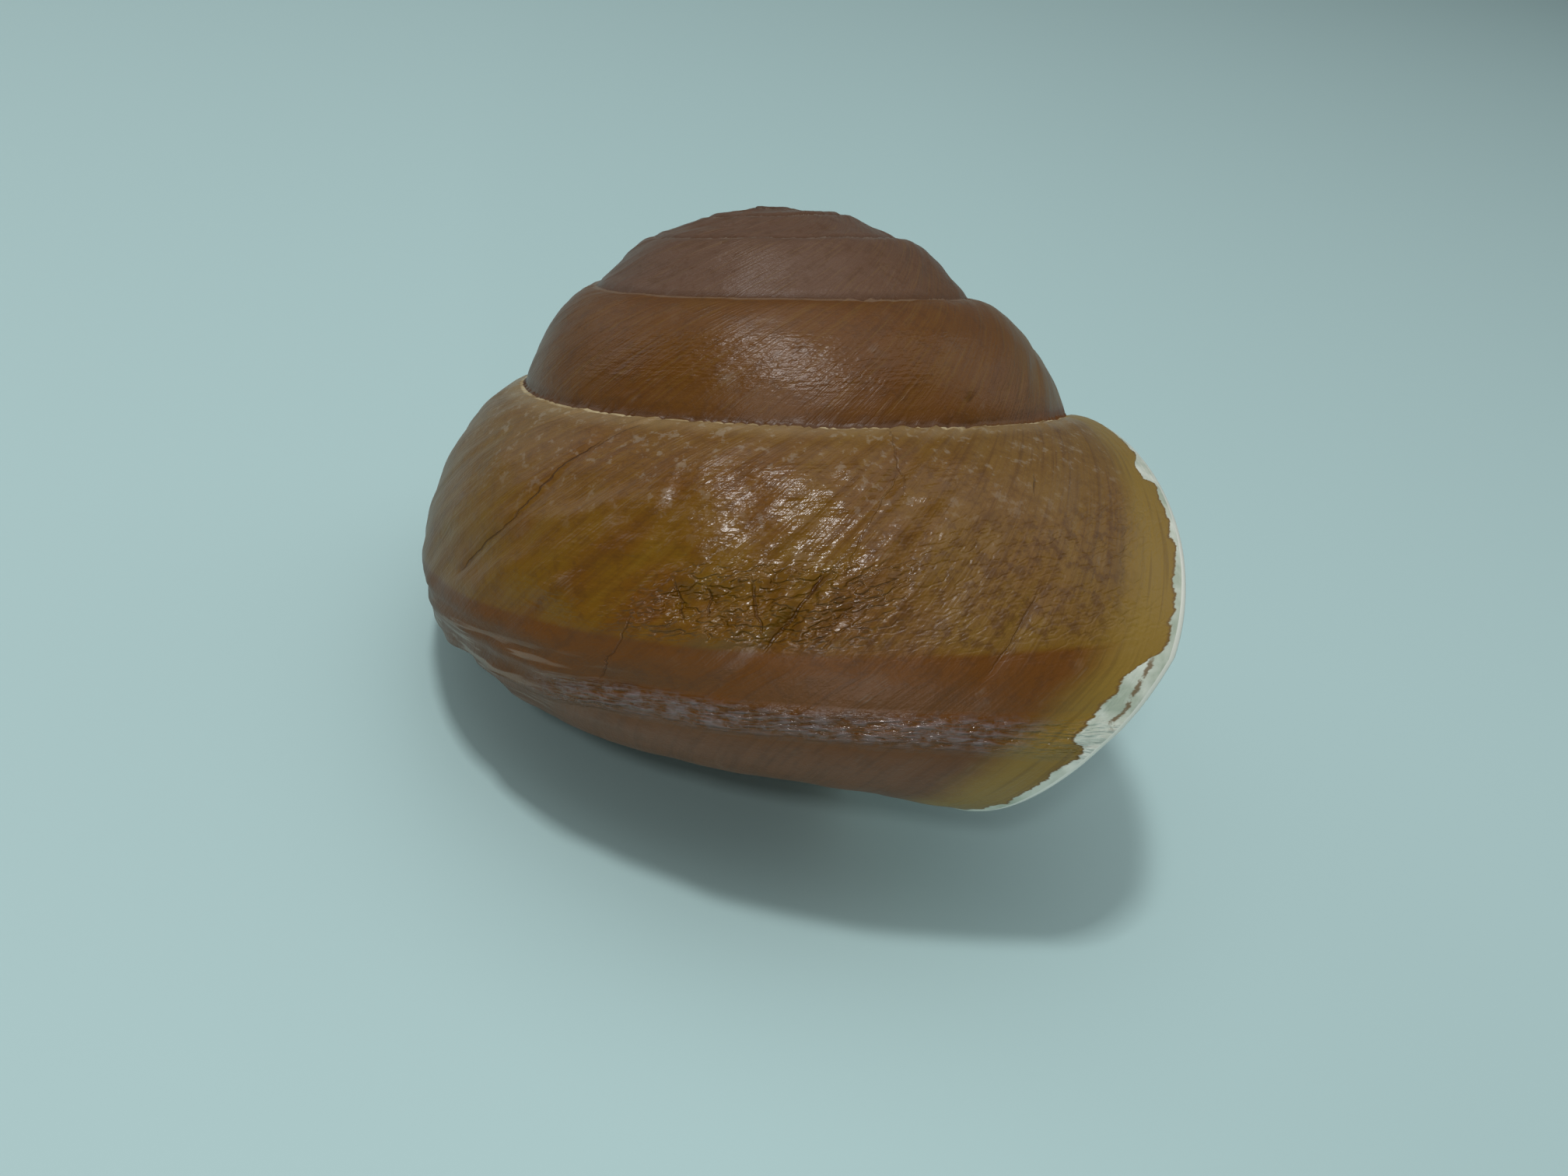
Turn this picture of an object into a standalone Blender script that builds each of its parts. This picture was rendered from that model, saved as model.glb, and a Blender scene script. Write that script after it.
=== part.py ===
"""Empty shell of a land snail, coiled to the left, standing on its base and lip.

The shell is one solid. Every whorl is the same cross-section carried round the
coiling axis while it grows. Its outline has three arcs: an upper arc from the
suture out to the keel, a lower arc from the keel to the lowest ring of the base,
and a base arc from there in to the columella. The suture of each whorl lies on
the keel of the whorl before it. The last whorl is hollow from the lip inwards.
"""

import bpy
import bmesh
from math import cos, sin, exp, pi, radians
from mathutils import Matrix, Vector

MM = 0.001

# Coiling. A place along the shell is given in whorls back from the lip's end at
# the suture, so 0 is the lip and KEEL_WHORLS is the tip.
KEEL_WHORLS = 5.45
HOLLOW_WHORLS = 2.2
COIL_RADIUS = 15.6 * MM        # radius that the even coil would have at the lip
COIL_STEP = 2.84 * MM          # radius lost in each whorl back
SPREAD = 10.9 * MM             # extra radius of the widening last whorl, at the lip
SPREAD_RUN = 1.34              # whorls over which that extra dies away
TIP_HEIGHT = 7.2 * MM          # tip above the level where heights are zero
DOME_DROP = 24.9 * MM          # drop of the keel line from the tip to the lip
DOME_POWER = 3.36              # how round the dome of the spire is
LAST_DROP = 0.57 * MM          # extra drop of the last whorl, at the lip
LAST_DROP_RUN = 1.8

# Outline of a whorl: directions of the arcs, as angles above the outward level.
SUTURE_ANGLE_SPIRE = radians(-12.0)
SUTURE_ANGLE_LIP = radians(5.4)
SUTURE_ANGLE_RUN = 0.6
KEEL_ANGLE_ABOVE = radians(-83.8)
KEEL_ANGLE_TURN = radians(34.0)   # gained in each whorl back, past KEEL_TURN_START
KEEL_TURN_START = 0.8
KEEL_ANGLE_BELOW = radians(-95.5)
COLUMELLA_DIRECTION = Vector((0.5, -0.85))
UPPER_PULL = (0.25, 0.29)         # pull at the two ends, over the chord, on the last whorl
SPIRE_PULL = 0.38
LOWER_PULL = (0.22, 0.54)
BASE_PULL = (0.62, 0.26)

# Lowest ring of the base, as parts of the keel's radius, and the columella.
RING_DEPTH = 0.29
RING_DEPTH_STEP = 0.089
RING_RADIUS = 0.696
RING_RADIUS_STEP = -0.155
COLUMELLA_RADIUS = 0.9 * MM
COLUMELLA_RISE = 1.4 * MM
DIMPLE = 0.8 * MM

# Growth lines lag behind the suture: radians for each third of the outline.
LAG = (0.815, -0.036, -0.060)
LAG_FADE = 0.95                # whorls back from the lip where the lag has faded out

# Walls and lip.
WALL = 1.0 * MM
LIP_WALL = 1.6 * MM
LIP_RUN = 0.06                 # whorls over which lip thickness and flare die away
LIP_FLARE = 2.4 * MM
LIP_ROUND = 0.55               # how far the lip's rim bulges forward, over its wall

# Faces.
ROWS = 42                      # round one whorl
STEPS = 5                      # across each of the three arcs

# Pose on the ground: first the turn about the coiling axis, then the two tilts.
LIP_AZIMUTH = radians(-4.2)
LEAN_BACK = radians(-20.45)
LEAN_SIDE = radians(-14.99)


def keel_point(turn):
    """Radius and height of the keel, the widest line of the whorl."""
    radius = COIL_RADIUS - COIL_STEP * turn + SPREAD * exp(-turn / SPREAD_RUN)
    left = max(0.0, 1.0 - turn / (KEEL_WHORLS + 0.15))
    height = TIP_HEIGHT - DOME_DROP * left ** DOME_POWER
    height -= LAST_DROP * exp(-turn / LAST_DROP_RUN)
    return Vector((max(radius, 0.35 * MM), height))


def direction(angle):
    return Vector((cos(angle), sin(angle)))


def arc(start, start_pull, end_pull, end):
    """Points of a smooth arc, its first point left out."""
    one = start + start_pull
    two = end + end_pull
    points = []
    for step in range(1, STEPS + 1):
        s = step / STEPS
        r = 1.0 - s
        points.append(start * r ** 3 + one * (3 * r * r * s) + two * (3 * r * s * s)
                      + end * s ** 3)
    return points


def outline(turn):
    """Outline of the whorl at this place, from the suture to the columella."""
    suture = keel_point(turn + 1.0)
    keel = keel_point(turn)
    if turn + 1.0 > KEEL_WHORLS:
        suture = Vector((0.0, TIP_HEIGHT))
    grown = min(turn, 1.0)
    ring = Vector((keel.x * (RING_RADIUS + RING_RADIUS_STEP * grown),
                   keel.y - keel.x * (RING_DEPTH + RING_DEPTH_STEP * grown)))
    columella = Vector((COLUMELLA_RADIUS, ring.y + COLUMELLA_RISE))

    near_lip = exp(-turn / SUTURE_ANGLE_RUN)
    leave = SUTURE_ANGLE_SPIRE + (SUTURE_ANGLE_LIP - SUTURE_ANGLE_SPIRE) * near_lip
    arrive = KEEL_ANGLE_ABOVE + KEEL_ANGLE_TURN * max(0.0, turn - KEEL_TURN_START)
    arrive = min(arrive, radians(-12.0))
    fade = exp(-turn)
    pull_out = SPIRE_PULL + (UPPER_PULL[0] - SPIRE_PULL) * fade
    pull_in = SPIRE_PULL + (UPPER_PULL[1] - SPIRE_PULL) * fade

    chord = (keel - suture).length
    points = [suture]
    points += arc(suture, direction(leave) * pull_out * chord,
                  direction(arrive) * -pull_in * chord, keel)
    chord = (ring - keel).length
    points += arc(keel, direction(KEEL_ANGLE_BELOW) * LOWER_PULL[0] * chord,
                  Vector((LOWER_PULL[1] * chord, 0.0)), ring)
    chord = (columella - ring).length
    points += arc(ring, Vector((-BASE_PULL[0] * chord, 0.0)),
                  COLUMELLA_DIRECTION * BASE_PULL[1] * chord, columella)
    return points


def lag(column):
    s = column / STEPS
    return LAG[0] * s + LAG[1] * s ** 2 + LAG[2] * s ** 3


def place(turn, point):
    """A point of an outline, carried round the axis to its place along the coil."""
    angle = LIP_AZIMUTH - 2.0 * pi * turn
    return Vector((point.x * cos(angle), point.x * sin(angle), point.y))


def lip_growth(turn):
    return exp(-turn / LIP_RUN)


def walls(turn):
    """Outer and inner points of one growth line of the hollow whorl."""
    fade = max(0.0, 1.0 - turn / LAG_FADE)
    last = 3 * STEPS
    outer = []
    inner = []
    for column in range(last + 1):
        here = turn + lag(column) / (2.0 * pi) * fade
        points = outline(here)
        before = points[max(column - 1, 0)]
        after = points[min(column + 1, last)]
        along = (after - before).normalized()
        out = Vector((-along.y, along.x))
        spread = sin(pi * column / last) ** 0.8
        point = points[column] + out * (LIP_FLARE * spread * lip_growth(turn))
        thick = WALL + (LIP_WALL - WALL) * lip_growth(turn)
        outer.append(place(here, point))
        inner.append(place(here, point - out * thick))
    return outer, inner


def build_mesh():
    bm = bmesh.new()
    last = 3 * STEPS
    rows = round(KEEL_WHORLS * ROWS)
    hollow = round(HOLLOW_WHORLS * ROWS)
    tip = bm.verts.new((0.0, 0.0, TIP_HEIGHT))

    # Outside and, further in, the wall that the hollow shares with the whorl before.
    outside = []
    for row in range(rows + 1):
        turn = row / ROWS
        outer = walls(turn)[0]
        columns = last if row <= ROWS + hollow else STEPS
        outside.append([None] + [bm.verts.new(outer[c]) for c in range(1, columns + 1)])
    for row in range(rows + 1):
        outside[row][0] = outside[row + ROWS][STEPS] if row + ROWS <= rows else tip

    def face(*corners):
        loop = []
        for corner in corners:
            if corner not in loop:
                loop.append(corner)
        if len(loop) > 2:
            bm.faces.new(loop)

    for row in range(rows):
        this, following = outside[row], outside[row + 1]
        for c in range(STEPS):
            face(this[c], this[c + 1], following[c + 1], following[c])
    for row in range(ROWS + hollow):
        this, following = outside[row], outside[row + 1]
        first = STEPS if row < ROWS else STEPS + 1
        for c in range(first, last):
            face(this[c], this[c + 1], following[c + 1], following[c])
    face(*outside[rows][:STEPS + 1])

    # Dimple round the axis, below the columella.
    axis = []
    for row in range(ROWS + 1):
        height = outside[row][last].co.z + DIMPLE
        axis.append(bm.verts.new((0.0, 0.0, height)))
    for row in range(ROWS):
        face(outside[row][last], axis[row], axis[row + 1], outside[row + 1][last])

    # Inside of the hollow whorl, from the lip back to where the hollow stops.
    inside = []
    for row in range(hollow + 1):
        inner = walls(row / ROWS)[1]
        inside.append([None] + [bm.verts.new(inner[c]) for c in range(1, last)])
    for row in range(hollow):
        this, following = inside[row], inside[row + 1]
        wall, wall_following = outside[row + ROWS], outside[row + ROWS + 1]
        face(wall[STEPS + 1], this[1], following[1], wall_following[STEPS + 1])
        for c in range(1, last - 1):
            face(this[c], this[c + 1], following[c + 1], following[c])
        face(this[last - 1], wall[last], wall_following[last], following[last - 1])
    end = inside[hollow][1:] + outside[hollow + ROWS][:STEPS:-1]
    centre = bm.verts.new(sum((v.co for v in end), Vector()) / len(end))
    for one, two in zip(end, end[1:] + end[:1]):
        face(one, two, centre)

    # Rounded rim of the lip, and the two ends of the rim.
    rim = [None]
    for c in range(1, last):
        middle = (outside[0][c].co + inside[0][c].co) / 2.0
        forward = (outside[0][c].co - outside[1][c].co).normalized()
        thick = (outside[0][c].co - inside[0][c].co).length
        rim.append(bm.verts.new(middle + forward * thick * LIP_ROUND))
    for c in range(1, last - 1):
        face(outside[0][c], outside[0][c + 1], rim[c + 1], rim[c])
        face(rim[c], rim[c + 1], inside[0][c + 1], inside[0][c])
    face(outside[0][0], outside[0][1], rim[1], inside[0][1], outside[ROWS][STEPS + 1])
    face(outside[0][last - 1], outside[0][last], axis[0], rim[last - 1])
    face(axis[0], *axis[1:], outside[ROWS][last], inside[0][last - 1], rim[last - 1])

    bmesh.ops.triangulate(bm, faces=bm.faces[:])
    bmesh.ops.recalc_face_normals(bm, faces=bm.faces[:])
    return bm


def rest(bm):
    """Turns the shell to lie as it rests, and centres it over the origin."""
    lean = Matrix.Rotation(LEAN_BACK, 4, 'X') @ Matrix.Rotation(LEAN_SIDE, 4, 'Y')
    bmesh.ops.transform(bm, matrix=lean, verts=bm.verts[:])
    low = Vector(min(v.co[i] for v in bm.verts) for i in range(3))
    high = Vector(max(v.co[i] for v in bm.verts) for i in range(3))
    shift = Vector(((low.x + high.x) / 2.0, (low.y + high.y) / 2.0, low.z))
    bmesh.ops.translate(bm, vec=-shift, verts=bm.verts[:])


def shell_material():
    material = bpy.data.materials.new("brown_shell")
    material.use_nodes = True
    shader = material.node_tree.nodes["Principled BSDF"]
    shader.inputs["Base Color"].default_value = (0.20, 0.10, 0.035, 1.0)
    shader.inputs["Roughness"].default_value = 0.35
    shader.inputs["Metallic"].default_value = 0.0
    return material


for leftover in list(bpy.data.objects):
    bpy.data.objects.remove(leftover, do_unlink=True)

shape = build_mesh()
rest(shape)
mesh = bpy.data.meshes.new("shell")
shape.to_mesh(mesh)
shape.free()
mesh.shade_smooth()
mesh.materials.append(shell_material())
shell = bpy.data.objects.new("shell", mesh)
bpy.context.scene.collection.objects.link(shell)
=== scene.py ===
"""Dresses the land snail shell: its grown surface and skin, on a pale floor under soft light."""

from math import cos, sin, pi, radians

import bpy
import numpy as np
from mathutils import Matrix, Vector


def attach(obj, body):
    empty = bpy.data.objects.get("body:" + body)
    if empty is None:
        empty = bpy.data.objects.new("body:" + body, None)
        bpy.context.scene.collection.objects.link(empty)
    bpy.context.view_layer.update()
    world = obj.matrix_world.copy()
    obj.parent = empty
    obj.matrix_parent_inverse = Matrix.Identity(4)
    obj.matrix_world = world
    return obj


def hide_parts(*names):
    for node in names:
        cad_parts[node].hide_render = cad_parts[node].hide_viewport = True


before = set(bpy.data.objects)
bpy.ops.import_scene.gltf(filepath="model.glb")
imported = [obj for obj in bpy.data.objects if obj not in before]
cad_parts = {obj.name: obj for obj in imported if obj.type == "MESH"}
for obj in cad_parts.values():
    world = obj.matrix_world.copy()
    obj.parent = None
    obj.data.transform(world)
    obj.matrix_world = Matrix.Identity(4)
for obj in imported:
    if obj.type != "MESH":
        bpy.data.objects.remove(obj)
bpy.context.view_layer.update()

# The shell
# One piece of limy shell that the animal laid down at its lip, coiled to the left, under
# a thin glossy brown skin. Each growth line is an old lip. It is grown here the same way:
# flat sheets of growth lines are wound on the coil, joined at their seams and worn.

MM = 0.001

ROWS = 498                      # growth lines in one whorl
LAG_ROWS = 57                   # growth lines between a place on the suture and the keel below it
KEEL_WHORLS = 5.45
HOLLOW_WHORLS = 0.9
COIL_RADIUS = 15.6 * MM
COIL_STEP = 2.84 * MM
SPREAD = 10.9 * MM
SPREAD_RUN = 1.34
TIP_HEIGHT = 7.2 * MM
TIP_KNOB, TIP_KNOB_RUN = 0.3 * MM, 0.6
DOME_DROP = 24.9 * MM
DOME_POWER = 3.36
LAST_DROP = 0.57 * MM
LAST_DROP_RUN = 1.8
LEAVE_SPIRE, LEAVE_LIP, LEAVE_RUN = radians(-20.0), radians(-6.0), 0.6
KEEL_ABOVE, KEEL_TURN, KEEL_TURN_START = radians(-83.8), radians(34.0), 0.8
KEEL_BELOW = radians(-95.5)
UPPER_PULL, SPIRE_PULL = (0.25, 0.29), 0.38
LOWER_PULL, BASE_PULL = (0.22, 0.54), (0.62, 0.26)
COLUMELLA_DIRECTION = (0.5, -0.85)
RING_DEPTH, RING_DEPTH_STEP = 0.29, 0.089
RING_RADIUS, RING_RADIUS_STEP = 0.696, -0.155
COLUMELLA_RADIUS, COLUMELLA_RISE = 0.9 * MM, 1.4 * MM
DIMPLE = 0.8 * MM
LAG = (0.815, -0.036, -0.060)
WALL, LIP_WALL, LIP_RUN, LIP_ROUND = 1.0 * MM, 1.6 * MM, 0.06, 0.55
LIP_FLARE = (2.66 * MM, 0.3 * MM, 0.0, -0.29 * MM)    # waves from suture to columella
LIP_AZIMUTH = radians(-4.2)
LIP_BACK = 1.0 / 42.0           # whorls behind the lip, for the way that it faces
LEAN = Matrix.Rotation(radians(-20.45), 3, 'X') @ Matrix.Rotation(radians(-14.99), 3, 'Y')
AXIS_ORIGIN = Vector((-2.79, 6.08, 21.73)) * MM    # zero of the coil's heights, on its axis


def raw_lag(across):
    return LAG[0] * across + LAG[1] * across ** 2 + LAG[2] * across ** 3


def lag(across):
    """Whorls by which a growth line trails its own start at the suture."""
    return raw_lag(across) * (LAG_ROWS / ROWS) / raw_lag(1.0)


def keel_line(turn):
    radius = COIL_RADIUS - COIL_STEP * turn + SPREAD * np.exp(-turn / SPREAD_RUN)
    left = np.maximum(0.0, 1.0 - turn / (KEEL_WHORLS + 0.15))
    height = TIP_HEIGHT - DOME_DROP * left ** DOME_POWER
    height = height - LAST_DROP * np.exp(-turn / LAST_DROP_RUN)
    height = height + TIP_KNOB * np.exp((turn - KEEL_WHORLS) / TIP_KNOB_RUN)
    return np.stack([np.maximum(radius, 0.35 * MM), height], -1)


def towards(angle):
    return np.stack([np.cos(angle), np.sin(angle)], -1)


def arc(share, start, start_pull, end_pull, end):
    s = share[:, None]
    r = 1.0 - s
    return (start * r ** 3 + (start + start_pull) * (3 * r * r * s)
            + (end + end_pull) * (3 * r * s * s) + end * s ** 3)


def outline(turn, across):
    """Radius and height on the whorl's outline: 0 suture, 1 keel, 2 lowest ring, 3 columella."""
    suture = keel_line(turn + 1.0)
    suture[turn + 1.0 > KEEL_WHORLS] = (0.0, TIP_HEIGHT + TIP_KNOB)
    keel = keel_line(turn)
    grown = np.minimum(turn, 1.0)
    ring = np.stack([keel[:, 0] * (RING_RADIUS + RING_RADIUS_STEP * grown),
                     keel[:, 1] - keel[:, 0] * (RING_DEPTH + RING_DEPTH_STEP * grown)], -1)
    columella = np.stack([np.full_like(turn, COLUMELLA_RADIUS), ring[:, 1] + COLUMELLA_RISE], -1)

    leave = LEAVE_SPIRE + (LEAVE_LIP - LEAVE_SPIRE) * np.exp(-turn / LEAVE_RUN)
    arrive = KEEL_ABOVE + KEEL_TURN * np.maximum(0.0, turn - KEEL_TURN_START)
    arrive = np.minimum(arrive, radians(-12.0))
    fade = np.exp(-turn)[:, None]
    pull_out = SPIRE_PULL + (UPPER_PULL[0] - SPIRE_PULL) * fade
    pull_in = SPIRE_PULL + (UPPER_PULL[1] - SPIRE_PULL) * fade

    chord = np.linalg.norm(keel - suture, axis=1)[:, None]
    upper = arc(across, suture, towards(leave) * pull_out * chord,
                -towards(arrive) * pull_in * chord, keel)
    chord = np.linalg.norm(ring - keel, axis=1)[:, None]
    below = np.array([[cos(KEEL_BELOW), sin(KEEL_BELOW)]])
    level = np.array([[1.0, 0.0]])
    lower = arc(across - 1.0, keel, below * LOWER_PULL[0] * chord,
                level * LOWER_PULL[1] * chord, ring)
    chord = np.linalg.norm(columella - ring, axis=1)[:, None]
    base = arc(across - 2.0, ring, -level * BASE_PULL[0] * chord,
               np.array([COLUMELLA_DIRECTION]) * BASE_PULL[1] * chord, columella)
    zone = across[:, None]
    return np.where(zone <= 1.0, upper, np.where(zone <= 2.0, lower, base))


def wound(turn, point):
    """Outline points, carried round the axis to their places along the coil."""
    angle = LIP_AZIMUTH - 2.0 * pi * turn
    return np.stack([point[:, 0] * np.cos(angle), point[:, 0] * np.sin(angle), point[:, 1]], -1)


def wall(line, across, depth):
    """The shell's wall where the growth line has this age; depth 0 is outside, 1 inside."""
    here = line + lag(across)
    point = outline(here, across)
    reach = 0.2
    along = (outline(here, np.minimum(across + reach, 3.0))
             - outline(here, np.maximum(across - reach, 0.0)))
    along /= np.linalg.norm(along, axis=1)[:, None]
    out = np.stack([-along[:, 1], along[:, 0]], -1)
    growth = np.exp(-line / LIP_RUN)
    flare = sum(height * np.sin(pi * wave * across / 3.0)
                for wave, height in enumerate(LIP_FLARE, 1)) * growth
    thick = WALL + (LIP_WALL - WALL) * growth
    return wound(here, point + out * (flare - thick * depth)[:, None])


def sheet(name, lines, steps):
    """A flat sheet of growth lines, made as a grid; gives it with its two flat coordinates."""
    bpy.ops.mesh.primitive_grid_add(x_subdivisions=lines, y_subdivisions=steps, size=1.0)
    made = bpy.context.active_object
    made.name = name
    flat = np.empty(len(made.data.vertices) * 3)
    made.data.vertices.foreach_get("co", flat)
    flat = flat.reshape(-1, 3)
    return made, flat[:, 0] + 0.5, flat[:, 1] + 0.5


brown_skin = bpy.data.materials.new("brown_skin")
porcelain_lip = bpy.data.materials.new("porcelain_lip")
SKIN, PORCELAIN = 0, 1


def shape_sheet(made, places, line, across, material):
    """Puts the sheet's points in place, and keeps growth line and place across as its UV map."""
    made.data.vertices.foreach_set("co", places.ravel())
    corner = np.empty(len(made.data.loops), dtype=np.int32)
    made.data.loops.foreach_get("vertex_index", corner)
    uv = np.stack([line, across], -1)[corner]
    layer = made.data.uv_layers[0]
    layer.name = "growth"
    layer.data.foreach_set("uv", uv.ravel())
    for number, value in (("line", line), ("across", across)):
        made.data.attributes.new(number, 'FLOAT', 'POINT').data.foreach_set("value", value)
    made.data.materials.append(brown_skin)
    made.data.materials.append(porcelain_lip)
    made.data.polygons.foreach_set("material_index",
                                   np.full(len(made.data.polygons), material, dtype=np.int32))


UPPER_STEPS, BASE_STEPS, RIM_STEPS = 40, 56, 8
INSIDE_STEPS = UPPER_STEPS + BASE_STEPS
NOTCH_STEPS = 6                 # base steps under the suture where an inner wall joins
NOTCH = 1.0 + NOTCH_STEPS * 2.0 / BASE_STEPS
SEAM_REACH, AXIS_REACH = 0.35, 0.6    # how far across the inner wall is drawn to each edge
MERGE = 0.002 * MM


def place_across(over):
    """Place across the outline, for a share of all the steps from suture to columella."""
    return np.interp(over * INSIDE_STEPS, [0, UPPER_STEPS, INSIDE_STEPS], [0.0, 1.0, 3.0])


def inner_wall(line, across):
    """Inside of the hollow whorl, drawn to the whorl before it at both of its edges."""
    point = wall(line, across, 1.0)
    none = np.zeros_like(line)
    for edge, far, reach in (
            (none, wall(line + 1.0 - LAG_ROWS / ROWS, none + NOTCH, 0.0), SEAM_REACH),
            (none + 3.0, wall(line + 1.0, none + 3.0, 0.0), AXIS_REACH)):
        pull = np.clip(1.0 - np.abs(across - edge) / reach, 0.0, 1.0)
        pull = (pull * pull * (3.0 - 2.0 * pull))[:, None]
        point = point + (far - wall(line, edge, 1.0)) * pull
    return point


def lip_rim(along, across):
    """Rounded edge of the lip, from its outer to its inner side, bulging forward."""
    none = np.zeros_like(along)
    outer, inner = wall(none, across, 0.0), inner_wall(none, across)
    forward = outer - wall(none + LIP_BACK, across, 0.0)
    forward /= np.linalg.norm(forward, axis=1)[:, None]
    thick = np.minimum(np.linalg.norm(outer - inner, axis=1), LIP_WALL)[:, None]
    middle, half = (outer + inner) / 2.0, (outer - inner) / 2.0
    round_way, round_out = np.cos(pi * along)[:, None], np.sin(pi * along)[:, None]
    return middle + half * round_way + forward * thick * LIP_ROUND * round_out


bpy.ops.object.select_all(action='DESELECT')

upper_lines = round(KEEL_WHORLS * ROWS) - LAG_ROWS
upper, along, over = sheet("upper", upper_lines, UPPER_STEPS)
line, across = along * upper_lines / ROWS, over
shape_sheet(upper, wall(line, across, 0.0), line, across, SKIN)

base_lines = round((HOLLOW_WHORLS + 1.0) * ROWS)
base, along, over = sheet("base", base_lines, BASE_STEPS)
line, across = along * base_lines / ROWS, 1.0 + over * 2.0
shape_sheet(base, wall(line, across, 0.0), line, across, SKIN)

hollow_lines = round(HOLLOW_WHORLS * ROWS)
inside, along, over = sheet("inside", hollow_lines, INSIDE_STEPS)
line, across = along * hollow_lines / ROWS, place_across(over)
shape_sheet(inside, inner_wall(line, across), line, across, PORCELAIN)

rim, along, over = sheet("rim", RIM_STEPS, INSIDE_STEPS)
line, across = np.zeros_like(along), place_across(over)
shape_sheet(rim, lip_rim(along, across), line, across, PORCELAIN)

dimple, along, over = sheet("dimple", ROWS, 1)
line, across = along, np.full_like(along, 3.0)
edge = wall(line, across, 0.0)
centre = np.zeros_like(edge)
centre[:, 2] = edge[:, 2] + DIMPLE
shape_sheet(dimple, np.where(over[:, None] > 0.5, centre, edge), line, across, SKIN)

# Under the suture of the last whorl the whorl before it is its inner wall: no strip there.
base_uv = np.empty(len(base.data.loops) * 2)
base.data.uv_layers[0].data.foreach_get("uv", base_uv)
middles = base_uv.reshape(-1, 4, 2).mean(axis=1)
covered = (middles[:, 0] > (ROWS - LAG_ROWS) / ROWS) & (middles[:, 1] < NOTCH)
bpy.ops.object.select_all(action='DESELECT')
base.select_set(True)
bpy.context.view_layer.objects.active = base
bpy.ops.object.mode_set(mode='EDIT')
bpy.ops.mesh.select_mode(type='FACE')
bpy.ops.mesh.select_all(action='DESELECT')
bpy.ops.object.mode_set(mode='OBJECT')
base.data.polygons.foreach_set("select", covered)
bpy.ops.object.mode_set(mode='EDIT')
bpy.ops.mesh.delete(type='FACE')
bpy.ops.object.mode_set(mode='OBJECT')

# The sheets become one closed skin.
for piece in (upper, base, inside, rim, dimple):
    piece.select_set(True)
bpy.context.view_layer.objects.active = upper
bpy.ops.object.join()
shell = bpy.context.active_object
shell.name = "snail_shell"
bpy.ops.object.mode_set(mode='EDIT')
bpy.ops.mesh.select_mode(type='VERT')
bpy.ops.mesh.select_all(action='SELECT')
bpy.ops.mesh.remove_doubles(threshold=MERGE)
bpy.ops.mesh.fill_holes(sides=0)
bpy.ops.mesh.normals_make_consistent(inside=False)
bpy.ops.object.mode_set(mode='OBJECT')
bpy.ops.object.shade_smooth()

shell.data.transform(Matrix.Translation(AXIS_ORIGIN) @ LEAN.to_4x4())

# Wear and growth marks, as heights over the even surface. Places are a growth line's age
# in whorls and a place across; GIRTH and SPAN turn them to millimetres on the last whorl.
GIRTH, SPAN = 125.0, 15.0
DEEPEST = -0.55                 # the wall is a millimetre thick, and no crack goes through it
EDGE_SHARE, INSIDE_SHARE = 0.25, -0.8    # of the relief, along the normals of the inside: away
                                         # from its edges the inside follows the outside


def numbers_of(name):
    values = np.empty(len(shell.data.vertices))
    shell.data.attributes[name].data.foreach_get("value", values)
    return values


def hills(x, y, seed):
    """Smooth random hills about 1 apart, from -1 to 1."""
    table = np.random.default_rng(seed).uniform(-1.0, 1.0, (256, 256))
    left, low = np.floor(x).astype(int), np.floor(y).astype(int)
    s, t = x - left, y - low
    s, t = s * s * (3.0 - 2.0 * s), t * t * (3.0 - 2.0 * t)
    near = table[left % 256, low % 256] * (1 - s) + table[(left + 1) % 256, low % 256] * s
    far = (table[left % 256, (low + 1) % 256] * (1 - s)
           + table[(left + 1) % 256, (low + 1) % 256] * s)
    return near * (1 - t) + far * t


def ease(value, start, end):
    """0 at start, 1 at end, smooth between them."""
    share = np.clip((value - start) / (end - start), 0.0, 1.0)
    return share * share * (3.0 - 2.0 * share)


def window(value, low, high, soft):
    return ease(value, low - soft, low + soft) * (1.0 - ease(value, high - soft, high + soft))


line, across = numbers_of("line"), numbers_of("across")
x, y = line * GIRTH, across * SPAN
last = 1.0 - ease(line, 0.95, 1.2)
sway = hills(x / 5.0, y / 4.0, 1)

# Fine and broad growth lines, and slow swells.
relief = 0.030 * hills(line * 130.0 + 0.5 * sway, across * 2.6, 2)
relief += 0.045 * hills(line * 60.0 + 0.3 * sway, across * 2.1, 3) * (0.4 + 0.6 * last)
relief += 0.12 * hills(x / 9.0, y / 7.0, 4) * last + 0.05 * hills(x / 4.0, y / 3.5, 5)

# Hammered dents, deepest on the front of the last whorl.
hammered = 0.25 + window(line, 0.14, 0.33, 0.05) * window(across, 0.30, 1.0, 0.12)
dents = hills(x / 2.3 + sway, y / 1.7, 6) + 0.4 * hills(x / 1.3, y / 1.0, 7)
relief += 0.12 * dents * hammered * last * (1.0 - ease(across, 1.0, 1.15))

# The wrinkled patch low on the front, where the skin dried in folds.
WRINKLES = (0.150, 0.76, 4.2, 2.4)            # line, across, half width and height in mm
wx = (line - WRINKLES[0]) * GIRTH / WRINKLES[2]
wy = (across - WRINKLES[1]) * SPAN / WRINKLES[3]
crumple = np.exp(-(wx * wx + wy * wy) ** 1.5)
folds = 1.0 - 2.0 * np.abs(hills(x / 1.1 + 0.30 * y + 0.8 * sway, y / 1.6 - 0.1 * x, 8))
folds += 0.7 * hills(x / 0.9, y / 0.9, 9)
relief += 0.34 * folds * crumple

# Small creases above it, and a bundle of strong growth lines.
glossy = window(line, 0.105, 0.24, 0.02) * window(across, 0.24, 0.62, 0.06)
relief += 0.11 * hills(x / 1.5 + 0.9 * y, y / 0.8 + 0.4 * x, 13) * glossy

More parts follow.
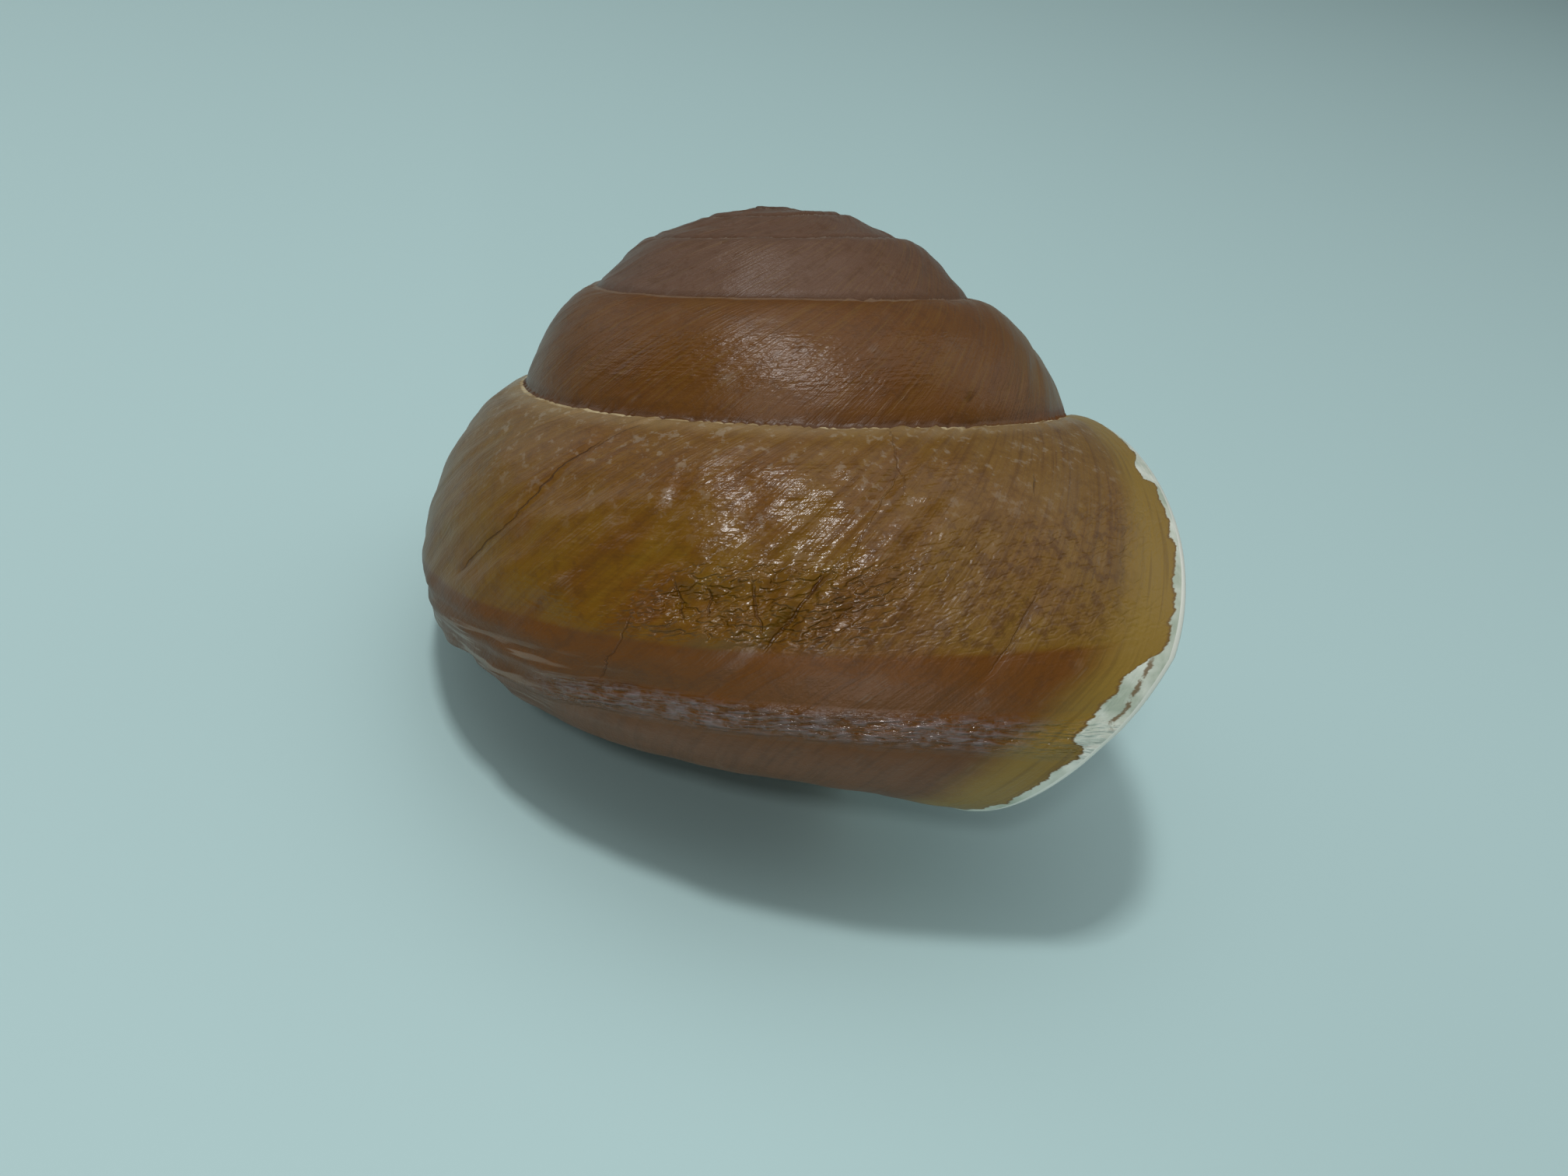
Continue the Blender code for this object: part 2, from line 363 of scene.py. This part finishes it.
bundle = window(line, 0.118, 0.172, 0.006) * (1.0 - ease(across, 0.5, 0.8)) * (across < 1.0)
relief += 0.20 * hills(line * 150.0 + 0.4 * sway, across * 1.5, 10) * bundle

CRACKS = (                                    # line, lean, from and to across, width, depth
    (0.1390, -0.025, 0.66, 0.92, 0.42, 0.42),
    (0.1510, -0.120, 0.71, 0.87, 0.36, 0.26),
    (0.1690, -0.120, 0.73, 0.82, 0.36, 0.24),
    (0.1780, -0.130, 0.72, 0.84, 0.36, 0.22),
    (0.1810, -0.050, 0.85, 1.18, 0.36, 0.14),
    (0.2880, -0.042, 0.14, 0.58, 0.26, 0.15),
    (0.2798, 0.000, 0.56, 0.86, 0.26, 0.15),
    (0.0605, -0.004, 0.72, 1.03, 0.36, 0.10),
    (0.1360, -0.020, 0.93, 1.16, 0.45, 0.14),
    (0.2220, -0.095, 0.28, 0.62, 0.40, 0.12),
)
for age, tilt, start, stop, width, depth in CRACKS:
    middle = (start + stop) / 2.0
    off = (line - age - tilt * (across - middle)) * GIRTH + 0.2 * sway
    relief -= depth * np.exp(-(off / width) ** 2) * window(across, start, stop, 0.04)

# Puckers of the skin where it meets the suture, at these ages.
PUCKERS = (0.3466, 0.2983, 0.1735, 0.1690, 0.1512, 0.1480, 0.2500, 0.0700)
for age in PUCKERS:
    off = (line - age) * GIRTH
    relief += 0.16 * np.exp(-(off / 0.35) ** 2) * (1.0 - ease(across, 0.02, 0.16))

# Ripples and bumps below the keel, the smooth base, and the groove of the older sutures.
ripples = window(line, 0.17, 0.50, 0.05) * window(across, 1.08, 1.62, 0.08)
relief += 0.48 * hills(x / 5.5 - 0.25 * y, y / 1.15 + 0.10 * x, 11) * ripples
underside = window(across, 1.5, 2.9, 0.2) * last
relief += 0.05 * hills(line * 70.0, across * 0.8, 12) * underside
seam = np.exp(-(np.minimum(across, np.abs(1.0 - across)) * 13.0) ** 2) * ease(line, 0.9, 1.1)
relief -= 0.14 * seam * (across < 1.01)
keel_bumps = (1.0 - ease(line, 0.16, 0.20)) * window(across, 1.21, 1.36, 0.04) * (line < 0.5)
relief += 0.11 * hills(x / 1.0 + 0.5 * sway, y / 0.7, 14) * keel_bumps
relief *= 1.0 - ease(line, 3.8, 5.2) * 0.8
relief *= 1.0 - ease(across, 2.75, 3.0)
relief = np.maximum(relief, DEEPEST)

# The outside takes all of the relief, and the inside its share.
worked = np.zeros(len(shell.data.vertices))
corner_of = np.empty(len(shell.data.loops), dtype=np.int32)
shell.data.loops.foreach_get("vertex_index", corner_of)
face_start = np.empty(len(shell.data.polygons), dtype=np.int32)
face_size = np.empty(len(shell.data.polygons), dtype=np.int32)
face_kind = np.empty(len(shell.data.polygons), dtype=np.int32)
shell.data.polygons.foreach_get("loop_start", face_start)
shell.data.polygons.foreach_get("loop_total", face_size)
shell.data.polygons.foreach_get("material_index", face_kind)
worked[corner_of[np.repeat(face_kind == SKIN, face_size)]] = 1.0
follows = ease(line, 0.02, 0.10) * window(across, 0.5, 2.4, 0.2)
inside_share = EDGE_SHARE + (INSIDE_SHARE - EDGE_SHARE) * follows
lined = corner_of[np.repeat(face_kind == PORCELAIN, face_size)]
worked[lined] = inside_share[lined]

normals = np.empty(len(shell.data.vertices) * 3)
shell.data.vertices.foreach_get("normal", normals)
places = np.empty(len(shell.data.vertices) * 3)
shell.data.vertices.foreach_get("co", places)
places = places.reshape(-1, 3) + normals.reshape(-1, 3) * (relief * worked * MM)[:, None]
shell.data.vertices.foreach_set("co", places.ravel())
shell.data.update()

# The spire and the depth of the hollow need fewer faces than the last whorl.
THINNED = (                     # inside of the wall or not, growth lines older than, share kept
    (False, 1.00, 0.15),
    (True, 0.45, 0.10),
)
NEAR_AXIS = 2.9                 # place across, past which nothing is thinned
inner = shell.data.attributes.new("inner", 'FLOAT', 'POINT')
inner.data.foreach_set("value", (worked < 1.0).astype(float))
for inside_part, age, keep in THINNED:
    bpy.ops.object.mode_set(mode='EDIT')
    bpy.ops.mesh.select_all(action='DESELECT')
    bpy.ops.object.mode_set(mode='OBJECT')
    plain = (numbers_of("inner") > 0.5) == inside_part
    plain &= (numbers_of("line") > age) & (numbers_of("across") < NEAR_AXIS)
    shell.data.vertices.foreach_set("select", plain)
    bpy.ops.object.mode_set(mode='EDIT')
    bpy.ops.mesh.decimate(ratio=keep)
    bpy.ops.mesh.select_all(action='DESELECT')
    bpy.ops.mesh.select_non_manifold(extend=False, use_wire=False, use_multi_face=False,
                                     use_non_contiguous=False, use_verts=False)
    bpy.ops.mesh.delete(type='FACE')
    bpy.ops.object.mode_set(mode='OBJECT')


class Wire:
    """An output socket in a material, on which Python's arithmetic adds nodes."""

    def __init__(self, socket):
        self.socket = socket

    def make(self, kind, settings, inputs, output=0):
        """Adds a node of this kind beside this one, and returns one of its outputs."""
        tree = self.socket.id_data
        node = tree.nodes.new(kind)
        for name, value in settings.items():
            if name == "stops":
                ramp = node.color_ramp.elements
                while len(ramp) < len(value):
                    ramp.new(1.0)
                for stop, (position, colour) in zip(ramp, value):
                    stop.position = position
                    stop.color = (*colour, 1.0)
            else:
                setattr(node, name, value)
        for name, value in inputs.items():
            if isinstance(value, Wire):
                tree.links.new(value.socket, node.inputs[name])
            else:
                node.inputs[name].default_value = value
        return Wire(node.outputs[output])

    def maths(self, operation, one, two):
        return self.make("ShaderNodeMath", {"operation": operation}, {0: one, 1: two})

    def __add__(self, other):
        return self.maths('ADD', self, other)

    __radd__ = __add__

    def __mul__(self, other):
        return self.maths('MULTIPLY', self, other)

    __rmul__ = __mul__

    def __sub__(self, other):
        return self.maths('SUBTRACT', self, other)

    def __rsub__(self, other):
        return self.maths('SUBTRACT', other, self)

    def __abs__(self):
        return self.maths('ABSOLUTE', self, 0.0)

    def ramp(self, start, end):
        """0 at start and before, 1 at end and past it, smooth between them."""
        return self.make("ShaderNodeMapRange", {"interpolation_type": 'SMOOTHSTEP'},
                         {"Value": self, "From Min": start, "From Max": end})

    def between(self, low, high, soft):
        return self.ramp(low - soft, low + soft) * (1.0 - self.ramp(high - soft, high + soft))

    def noise(self, scale, detail=2.0, roughness=0.5, stretch=(1.0, 1.0, 1.0)):
        place = self.make("ShaderNodeMapping", {}, {"Vector": self, "Scale": stretch})
        return place.make("ShaderNodeTexNoise", {},
                          {"Vector": place, "Scale": scale, "Detail": detail,
                           "Roughness": roughness})

    def colour(self, other, amount):
        """This colour with some of another mixed over it."""
        def given(value):
            return value if isinstance(value, Wire) else (*value, 1.0)
        return self.make("ShaderNodeMix", {"data_type": 'RGBA'},
                         {0: amount, 6: self, 7: given(other)}, 2)


def new_finish(material):
    """A shader with its surface places in metres, and its growth line and place across."""
    material.use_nodes = True
    tree = material.node_tree
    shader = tree.nodes["Principled BSDF"]
    coordinates = tree.nodes.new("ShaderNodeTexCoord")
    placed = Wire(coordinates.outputs["Object"])
    growth = Wire(coordinates.outputs["UV"])
    line = growth.make("ShaderNodeSeparateXYZ", {}, {0: growth}, 0)
    across = growth.make("ShaderNodeSeparateXYZ", {}, {0: growth}, 1)
    return shader, placed, growth, line, across


def finish(shader, inputs):
    for name, value in inputs.items():
        if isinstance(value, Wire):
            shader.id_data.links.new(value.socket, shader.inputs[name])
        else:
            shader.inputs[name].default_value = value


shader, placed, growth, line, across = new_finish(brown_skin)

# Patterns: mottling in the round, and streaks that follow the growth lines.
mottle = placed.noise(170.0, 3.0, 0.55)
patches = placed.noise(420.0, 3.0, 0.6)
dimples = placed.noise(330.0, 1.0, 0.4)
grain = placed.noise(2300.0, 2.0, 0.6)
speckle = placed.noise(1300.0, 3.0, 0.7)
streaks = growth.noise(1.0, 2.0, 0.6, (290.0, 2.2, 1.0))
broad_streaks = growth.noise(1.0, 2.0, 0.5, (55.0, 1.1, 1.0))
fine_streaks = growth.noise(1.0, 3.0, 0.6, (900.0, 5.0, 1.0))
creases = abs(growth.noise(1.0, 2.0, 0.5, (120.0, 30.0, 1.0)) - 0.5)
edge_wave = growth.noise(1.0, 3.0, 0.6, (40.0, 7.0, 1.0))
torn_edge = growth.noise(1.0, 5.0, 0.65, (30.0, 12.0, 1.0))

OLIVE_BROWN, ORANGE_BROWN = (0.135, 0.066, 0.002), (0.115, 0.040, 0.001)
DUSTY, SPIRE = (0.150, 0.082, 0.020), (0.096, 0.050, 0.030)
PENULTIMATE = (0.095, 0.032, 0.002)
BAND, DARK, GREY = (0.104, 0.034, 0.001), (0.060, 0.022, 0.004), (0.36, 0.33, 0.27)
MAUVE, OLIVE, CREAM = (0.120, 0.052, 0.024), (0.205, 0.128, 0.020), (0.60, 0.50, 0.30)
# The pale lilac is a painted glint colour, used below the keel.
WHITE, DIRT, PAINTED_GLINT = (0.58, 0.61, 0.54), (0.12, 0.065, 0.018), (0.34, 0.31, 0.34)

last = 1.0 - line.ramp(0.93, 1.0)
body = mottle.make("ShaderNodeValToRGB",
                   {"stops": ((0.38, OLIVE_BROWN), (0.60, ORANGE_BROWN))},
                   {0: mottle * 0.55 + patches * 0.25 + broad_streaks * 0.20})
spire = body.colour(PENULTIMATE, line.ramp(0.85, 1.05) * 0.85)
spire = spire.colour(SPIRE, line.ramp(1.75, 2.15) * 0.85)
high = 1.0 - across.ramp(0.15, 0.75)
calm = 1.0 - line.ramp(0.06, 0.20)
dusty = (calm * 0.65 + high * 0.28 + line.ramp(0.26, 0.42) * 0.5) * (0.25 + patches)
tone = spire.colour(DUSTY, dusty * last * (1.0 - across.ramp(0.88, 0.96)))
tone = tone.colour(BAND, across.ramp(0.922, 0.948) * last)
tone = tone.colour(MAUVE, across.ramp(1.33, 1.48) * (1.0 - across.ramp(1.7, 2.1)) * 0.6)
older_whorls = line.ramp(0.95, 1.05)
# Painted shade: darker along the groove just above each older suture.
tone = tone.colour(DARK, across.ramp(0.90, 1.0) * older_whorls * 0.6)
tone = tone.colour(DARK, speckle.ramp(0.50, 0.64) * older_whorls * 0.35)
tone = tone.colour(GREY, (across - edge_wave * 0.04).ramp(0.02, 0.0) * older_whorls * 0.15)
tone = tone.colour(DARK, broad_streaks.ramp(0.52, 0.75) * 0.22)
tone = tone.colour(DARK, streaks.ramp(0.50, 0.66) * (0.08 + 0.30 * mottle + 0.15 * calm))
tone = tone.colour(DARK, creases.ramp(0.05, 0.0) * mottle.ramp(0.45, 0.65) * 0.35)
tone = tone.colour(DARK, fine_streaks.ramp(0.54, 0.72) * calm * 0.30)
tone = tone.colour(DARK, speckle.ramp(0.50, 0.66) * (0.12 + 0.35 * patches) * last)
tone = tone.colour(GREY, speckle.ramp(0.44, 0.34) * high * 0.22 * last)
tone = tone.colour(GREY, patches.ramp(0.58, 0.80) * fine_streaks.ramp(0.40, 0.65) * 0.16)
tone = tone.colour(OLIVE, streaks.ramp(0.50, 0.30) * (1.0 - across.ramp(0.9, 0.95)) * 0.12)

leather = line.between(0.015, 0.125, 0.02) * across.between(0.50, 0.93, 0.08)
tone = tone.colour(DARK, speckle.ramp(0.45, 0.60) * leather * 0.40)

# Worn ridges low on the left, partly painted sheen, glints painted below the keel, and the pale
# band with its bright edge under the suture.
corrugated = growth.noise(1.0, 2.0, 0.5, (30.0, 24.0, 1.0))
# Pale ridge crests low on the left: partly wear of the skin, partly a painted sheen of light on
# the ridges.
worn_and_sheen_ridges = corrugated.ramp(0.52, 0.62) * line.between(0.20, 0.55, 0.05) * across.between(1.1, 1.6, 0.1)
tone = tone.colour(GREY, worn_and_sheen_ridges * 0.40)
rough_ground = growth.noise(1.0, 2.0, 0.5, (150.0, 48.0, 1.0))
keel_gloss = line.between(-0.10, 0.19, 0.02) * across.between(1.21, 1.36, 0.04)
# Painted glints: pale lilac specks below the keel stand in, in colour, for the broken reflection
# of light there.
painted_glints = rough_ground.ramp(0.40, 0.68) * 0.20 + speckle.ramp(0.44, 0.60) * 0.14
tone = tone.colour(PAINTED_GLINT, painted_glints * keel_gloss)
below_suture = (1.0 - across.ramp(0.03, 0.15)) * (0.25 + 0.5 * streaks)
tone = tone.colour(CREAM, below_suture * last * 0.30)
bright_edge = (1.0 - (across - streaks * 0.02).ramp(0.002, 0.014)) * last
tone = tone.colour(CREAM, bright_edge * patches.ramp(0.35, 0.65) * 0.55)

# Cracks, scratches and a smudge: line, lean, from and to across, half width in mm, depth.
MARKS = (
    (0.1390, -0.025, 0.67, 0.92, 0.12, 0.60),
    (0.1405, -0.010, 0.67, 0.73, 0.30, 0.50),
    (0.1510, -0.120, 0.71, 0.87, 0.10, 0.60),
    (0.1690, -0.120, 0.73, 0.82, 0.09, 0.55),
    (0.1780, -0.130, 0.72, 0.84, 0.09, 0.50),
    (0.1810, -0.050, 0.85, 1.18, 0.07, 0.35),
    (0.2880, -0.042, 0.22, 0.57, 0.06, 0.70),
    (0.2798, 0.000, 0.57, 0.84, 0.06, 0.60),
    (0.2922, -0.020, 0.08, 0.26, 0.06, 0.40),
    (0.0605, -0.004, 0.75, 1.00, 0.07, 0.25),
    (0.1420, -0.040, 0.30, 0.66, 0.08, 0.25),
    (0.1560, -0.110, 0.05, 0.40, 0.08, 0.25),
    (0.0810, -0.040, 0.36, 0.42, 0.10, 0.45),
    (0.1230, 0.240, 0.62, 0.69, 0.10, 0.25),
    (0.1020, 0.000, 0.95, 1.00, 0.50, 0.20),
)
marked = 0.0
for age, tilt, start, stop, width, depth in MARKS:
    off = line - age - (across - (start + stop) / 2.0) * tilt + (edge_wave - 0.5) * 0.008
    drawn = (abs(off) * GIRTH).ramp(width, width * 0.25) * across.between(start, stop, 0.03)
    marked = drawn * depth + marked
tone = tone.colour(DARK, marked)

near_lip = 1.0 - (line + (edge_wave - 0.5) * 0.012).ramp(0.014, 0.036)
tone = tone.colour(OLIVE, near_lip * (0.75 + 0.3 * streaks))
tone = tone.colour(DARK, near_lip * streaks.ramp(0.52, 0.66) * 0.30)
bare = (torn_edge - 0.5) * 0.012 - 0.0006 + across.between(0.37, 0.46, 0.02) * 0.007
bare = bare + across.between(0.99, 1.30, 0.04) * 0.008
torn = (line - bare).ramp(0.0046, 0.0036)
tone = tone.colour(DIRT, torn * 0.8)
limy = patches.make("ShaderNodeValToRGB",
                    {"stops": ((0.36, (0.32, 0.37, 0.29)), (0.66, WHITE))}, {0: patches})
tone = tone.colour(limy, (line - bare).ramp(0.0036, 0.0028))
dirt_line = abs(line - 0.0065 + (across - 1.0) * 0.020 + (torn_edge - 0.5) * 0.010)
dirt = dirt_line.ramp(0.0013, 0.0004) * across.between(0.99, 1.24, 0.02) * speckle.ramp(0.36, 0.50)
tone = tone.colour(DIRT, dirt * 0.85)

# The skin is smooth with fine growth lines, and crumpled where it was stretched and dried.
folded = abs(growth.noise(1.0, 2.0, 0.6, (110.0, 20.0, 1.0)) - 0.5)
crumpled = growth.noise(1.0, 2.0, 0.5, (75.0, 26.0, 1.0))
stretched = line.between(0.11, 0.24, 0.03) * across.between(0.26, 0.90, 0.06)
older = line.between(1.06, 1.27, 0.03) * across.between(0.38, 0.78, 0.08)
cluster = line.between(0.115, 0.190, 0.015) * across.between(0.64, 0.90, 0.04)
lively = stretched + keel_gloss + older * 0.7
dull_band = across.between(0.95, 1.19, 0.02) * last
height = streaks * 0.045 + fine_streaks * 0.018 + grain * 0.026 + speckle * 0.020
height = height + dimples * 0.10 + crumpled * lively * 0.08 - marked * 0.12
height = height + rough_ground * (0.07 * stretched + 0.42 * keel_gloss + 0.05 * older)
height = height + folded.ramp(0.0, 0.10) * (0.004 + 0.12 * cluster + 0.022 * leather)
bump = height.make("ShaderNodeBump", {}, {"Height": height, "Distance": MM, "Strength": 1.0})
dull = 0.31 + mottle * 0.14 - lively * 0.18 - keel_gloss * 0.06 - cluster * 0.05
dull = dull + dull_band * 0.08
finish(shader, {"Base Color": tone, "Roughness": dull, "Normal": bump,
                "Specular IOR Level": 0.29})

shader, placed, growth, line, across = new_finish(porcelain_lip)
PEACH, DEEP = (0.62, 0.40, 0.27), (0.30, 0.17, 0.13)
cloud = placed.noise(250.0, 3.0, 0.5)
lining = cloud.make("ShaderNodeValToRGB", {"stops": ((0.3, (0.62, 0.63, 0.56)), (0.7, WHITE))},
                    {0: cloud})
lining = lining.colour(PEACH, (line + (cloud - 0.5) * 0.02).ramp(0.015, 0.10) * 0.8)
lining = lining.colour(DEEP, line.ramp(0.25, 0.7))
height = (growth.noise(1.0, 3.0, 0.6, (300.0, 4.0, 1.0)) - 0.5) * 0.03
bump = height.make("ShaderNodeBump", {}, {"Height": height, "Distance": MM, "Strength": 1.0})
finish(shader, {"Base Color": lining, "Roughness": 0.22 + cloud * 0.15, "Normal": bump})

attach(shell, "root")
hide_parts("shell")

# The floor
# A plain pale board of painted wood, matt and wide enough to fill the view. It lies level,
# and the shell rests on it.
bpy.ops.object.select_all(action='DESELECT')
bpy.ops.mesh.primitive_plane_add(size=6.0)
floor = bpy.context.active_object
floor.name = "floor"
board = bpy.data.materials.new("pale_board")
board.use_nodes = True
board.node_tree.nodes["Principled BSDF"].inputs["Base Color"].default_value = (0.40, 0.56, 0.56, 1)
board.node_tree.nodes["Principled BSDF"].inputs["Roughness"].default_value = 0.7
floor.data.materials.append(board)

# The light
# A wide soft lamp above and two weak ones behind give even light. A small lamp above and one
# in front draw the glints on the skin, and a narrow one low in front lights below the keel.
sky = bpy.data.worlds.new("studio")
sky.use_nodes = True
sky.node_tree.nodes["Background"].inputs["Color"].default_value = (0.75, 0.85, 0.87, 1)
sky.node_tree.nodes["Background"].inputs["Strength"].default_value = 0.22
bpy.context.scene.world = sky
LAMPS = (                       # name, place, size, power in watts
    ("top_light", (0.02, 0.04, 0.50), 0.60, 0.94),
    ("near_light", (-0.058, -0.054, 0.334), 0.036, 0.45),
    ("front_light", (-0.060, -0.270, 0.255), 0.030, 0.18),
    ("left_light", (-0.36, 0.20, 0.20), 0.25, 0.18),
    ("right_light", (0.36, 0.20, 0.25), 0.25, 0.15),
)
for name, place, size, power in LAMPS:
    bpy.ops.object.light_add(type='AREA', location=place)
    lamp = bpy.context.active_object
    lamp.name = name
    lamp.data.size = size
    lamp.data.energy = power
    aim = Vector((0.0, 0.0, 0.012)) - Vector(place)
    lamp.rotation_euler = aim.to_track_quat('-Z', 'Y').to_euler()
LOW_PLACE, LOW_AIM = Vector((0.04, -0.32, 0.03)), Vector((0.0, 0.0, 0.016))
bpy.ops.object.light_add(type='SPOT', location=LOW_PLACE)
lamp = bpy.context.active_object
lamp.name = "low_light"
lamp.data.energy = 0.9
lamp.data.spot_size = radians(14.0)
lamp.data.spot_blend = 0.6
lamp.data.shadow_soft_size = 0.014
lamp.rotation_euler = (LOW_AIM - LOW_PLACE).to_track_quat('-Z', 'Y').to_euler()

# The camera
# It stands close, a hand's breadth from the shell, and looks down on it at a third of a
# right angle. Its place was found in the frame of a level shell, then turned with the shell.
LENS = 35.71                    # for a picture 36 mm wide
VIEW_DROP = 0.5658              # radians that the camera looks down, over a level shell
VIEW_DISTANCE = 112.5 * MM
LEVEL_LEAN = Matrix.Rotation(radians(-19.63), 3, 'X') @ Matrix.Rotation(radians(-2.97), 3, 'Y')
LEVEL_ORIGIN = Vector((-0.918, -5.946, 22.443)) * MM

turned = LEAN @ LEVEL_LEAN.transposed()
back = Vector((0.0, -cos(VIEW_DROP), sin(VIEW_DROP)))
up = Vector((0.0, sin(VIEW_DROP), cos(VIEW_DROP)))
right = Vector((1.0, 0.0, 0.0))
place = turned @ (back * VIEW_DISTANCE - LEVEL_ORIGIN) + AXIS_ORIGIN
axes = Matrix([turned @ right, turned @ up, turned @ back]).transposed()
camera_data = bpy.data.cameras.new("camera")
camera_data.lens = LENS
camera_data.sensor_width = 36.0
camera_data.clip_start = 0.005
camera = bpy.data.objects.new("camera", camera_data)
camera.matrix_world = Matrix.Translation(place) @ axes.to_4x4()
bpy.context.scene.collection.objects.link(camera)
bpy.context.scene.camera = camera
bpy.context.scene.view_settings.view_transform = 'Standard'
